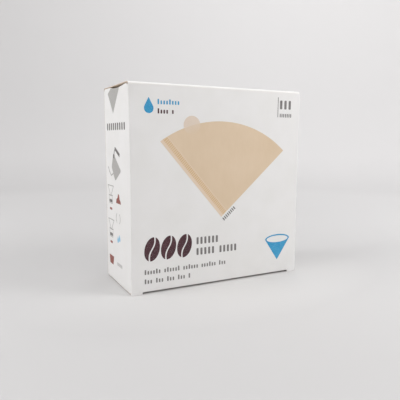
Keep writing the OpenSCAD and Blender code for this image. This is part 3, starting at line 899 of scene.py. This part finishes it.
# The pictured seam: a pale margin, then a darker band crimped across its length
def seamInk():
    p = picture
    material, tree, shader = newMaterial("seamInk")
    axes = axesOf(tree, place(tree, (1, 1, 1), (0, pictureTurn, 0)))
    offset = p["pointZ"] * mm * sin(pictureTurn)  # distance of the filter's point in the turned axes
    across = mathOf(tree, "SUBTRACT", axes["X"], offset)
    edges = []
    for edge, soft in ((p["bandFrom"], p["bandSoft"]), (p["bandTo"], -p["bandSoft"])):
        edges.append(rampOf(tree, across, (edge - soft) * mm, (edge + soft) * mm))
    band = mathOf(tree, "MULTIPLY", *edges)
    waves = mathOf(tree, "SINE", mathOf(tree, "MULTIPLY", axes["Z"], 2 * pi / (p["crimpPitch"] * mm)))
    crimps = mathOf(tree, "MULTIPLY", band, rampOf(tree, waves, -0.4, 0.8))
    uneven = rampOf(tree, noiseAt(tree, place(tree), 160, 3.0), 0.3, 0.7, 0.5, 1.0)
    colour = mixOf(tree, mathOf(tree, "MULTIPLY", band, 0.75), linear(p["margin"]), linear(p["band"]))
    colour = mixOf(tree, mathOf(tree, "MULTIPLY", crimps, uneven), colour, linear(p["crimp"]))
    rough = rampOf(tree, uneven, 0.5, 1.0, p["roughLow"], p["roughHigh"])
    finishShader(tree, shader, colour, rough, bumpOf(tree, crimps, 0.15, coated["fibreDepth"]))
    return material


tab, tabCentre = tabShape()
paperInk = pictureInk("tanInk", picture["light"], picture["dark"], tabCentre)
buildPrint("picturedFilter", on(onFront, [fieldShape()]), paperInk, "print_tan")
buildPrint("picturedSeam", on(onFront, [seamShape()]), seamInk(), "print_seam")
paperInk = pictureInk("tabInk", picture["tabLight"], picture["tabDark"])
buildPrint("picturedTab", on(onFront, [tab]), paperInk, "print_tab")
buildPrint("maroonPrint", maroonShapes, ink("maroonInk", *inks["maroon"]), "print_maroon")
buildPrint("bluePrint", blueShapes, ink("blueInk", *inks["blue"]), "print_blue")
buildPrint("greyPrint", greyShapes, ink("greyInk", *inks["grey"]), "print_grey")
buildPrint("darkPrint", blackShapes, ink("darkInk", *inks["dark"]), "print_black",
           printed["darkLift"])
print("print laid on the panels")


# The stage, the lights and the camera

stage = dict(
    flat=0.62, curve=0.55, wall=1.5, under=0.00005,  # a round bowl, just under the carton
    # Painted light and shade: the floor darker near the carton and lighter further out, the walls lighter
    # higher up, and the distances over which each tone comes in
    near=(203, 202, 202), ring=(219, 218, 218), ringSpan=(0.15, 0.5),
    wallLow=(230, 229, 229), wallSpan=(0.6, 0.85), wallHigh=(236, 235, 235), highSpan=(0.2, 0.5),
    front=(222, 221, 220), paintedLightAt=(0, -0.025, 0), paintedLightSpan=(0.062, 0.005),  # a painted pool of light on the floor before the carton
    # Scales for painted shade towards the left and painted light towards the right
    leftShade=0.87, rightLight=1.08, rough=0.85, shine=0.2)


# The sweep's colour paints the room's light and shade as well as its pale tone
def paleSweep():
    material, tree, shader = newMaterial("paleSweep")
    axes = axesOf(tree, place(tree))
    # Painted shade on the floor near the carton, painted light further out and up the walls
    outwards = distanceTo(tree, place(tree, (1, 1, 0)), (0, 0, 0))
    share = rampOf(tree, outwards, *stage["ringSpan"])
    tone = mixOf(tree, share, linear(stage["near"]), linear(stage["ring"]))
    share = rampOf(tree, outwards, *stage["wallSpan"])
    tone = mixOf(tree, share, tone, linear(stage["wallLow"]))
    share = rampOf(tree, axes["Z"], *stage["highSpan"])
    tone = mixOf(tree, share, tone, linear(stage["wallHigh"]))
    # A painted pool of light on the floor before the carton
    away = distanceTo(tree, place(tree, (0.5, 1, 0)), stage["paintedLightAt"])
    before = mathOf(tree, "MULTIPLY", rampOf(tree, away, *stage["paintedLightSpan"]),
                    rampOf(tree, axes["Y"], 0.03, -0.02))
    tone = mixOf(tree, before, tone, linear(stage["front"]))
    # Painted shade towards the left, painted light towards the right
    sideways = mathOf(tree, "SUBTRACT", axes["X"], mathOf(tree, "MULTIPLY", axes["Y"], 0.5))
    paintedSideLight = rampOf(tree, sideways, -1.0, 1.0, stage["leftShade"], stage["rightLight"])
    inputs = {0: tone, "Scale": paintedSideLight}
    tone = addNode(tree, "ShaderNodeVectorMath", inputs, operation="SCALE").outputs["Vector"]
    tree.links.new(tone, shader.inputs["Base Color"])
    shader.inputs["Roughness"].default_value = stage["rough"]
    shader.inputs["Specular IOR Level"].default_value = stage["shine"]
    return material


profile = [(0.0, 0.0), (0.25, 0.0), (stage["flat"], 0.0)]
for angle in range(6, 91, 6):
    t = radians(angle)
    profile.append((stage["flat"] + stage["curve"] * sin(t), stage["curve"] * (1 - cos(t))))
profile.append((stage["flat"] + stage["curve"], stage["wall"]))
bowl = bmesh.new()
ring = []
for angle in range(0, 360, 5):
    t = radians(angle)
    ring.append([bowl.verts.new((r * cos(t), r * sin(t), z - stage["under"])) for r, z in profile])
for a, b in zip(ring, ring[1:] + ring[:1]):
    for k in range(len(profile) - 1):
        bowl.faces.new((a[k], a[k + 1], b[k + 1], b[k]))
bmesh.ops.remove_doubles(bowl, verts=bowl.verts, dist=1e-6)
bmesh.ops.recalc_face_normals(bowl, faces=bowl.faces)
floorMesh = bpy.data.meshes.new("studioBowl")
bowl.to_mesh(floorMesh)
bowl.free()
floorMesh.shade_smooth()
floorMesh.materials.append(paleSweep())
floor = bpy.data.objects.new("studioBowl", floorMesh)
scene.collection.objects.link(floor)

light = dict(
    sky=0.4, skyTint=(1, 0.996, 0.994, 1),
    lamps=[  # name, place, target, size, power
        ("overhead", (-0.26, 0.0, 1.3), (0, 0, 0.05), 1.0, 4.27),
        ("leftFill", (-0.52, 0.04, 0.42), (0, 0, 0.1), 0.4, 1.6),
        ("rightFill", (0.38, -0.31, 0.36), (0.04, 0, 0.07), 0.3, 1.38),
        ("sweepLight", (0.35, 0.35, 1.1), (0.75, 0.9, 0.3), 0.5, 2.9)])
world = bpy.data.worlds.new("softRoom")
scene.world = world
world.use_nodes = True
background = world.node_tree.nodes["Background"]
background.inputs["Color"].default_value = light["skyTint"]
background.inputs["Strength"].default_value = light["sky"]
for name, where, target, size, power in light["lamps"]:
    lamp = bpy.data.lights.new(name, "AREA")
    lamp.shape = "DISK"
    lamp.size = size
    lamp.energy = power
    holder = bpy.data.objects.new(name, lamp)
    holder.location = where
    holder.rotation_euler = (Vector(target) - Vector(where)).to_track_quat("-Z", "Y").to_euler()
    scene.collection.objects.link(holder)

view = dict(place=(-0.14206, -0.26837, 0.09077), yaw=27.435, down=7.614, roll=0.26, lens=40.93)
camera = bpy.data.objects.new("camera", bpy.data.cameras.new("camera"))
camera.data.lens = view["lens"]
camera.data.sensor_width = 36
camera.data.clip_start = 0.01
aim = Matrix.Translation(view["place"])
for turn, axis in ((-view["yaw"], "Z"), (90 - view["down"], "X"), (view["roll"], "Z")):
    aim = aim @ Matrix.Rotation(radians(turn), 4, axis)
camera.matrix_world = aim
scene.collection.objects.link(camera)
scene.camera = camera
scene.view_settings.view_transform = "Standard"
print("stage, lights and camera set")
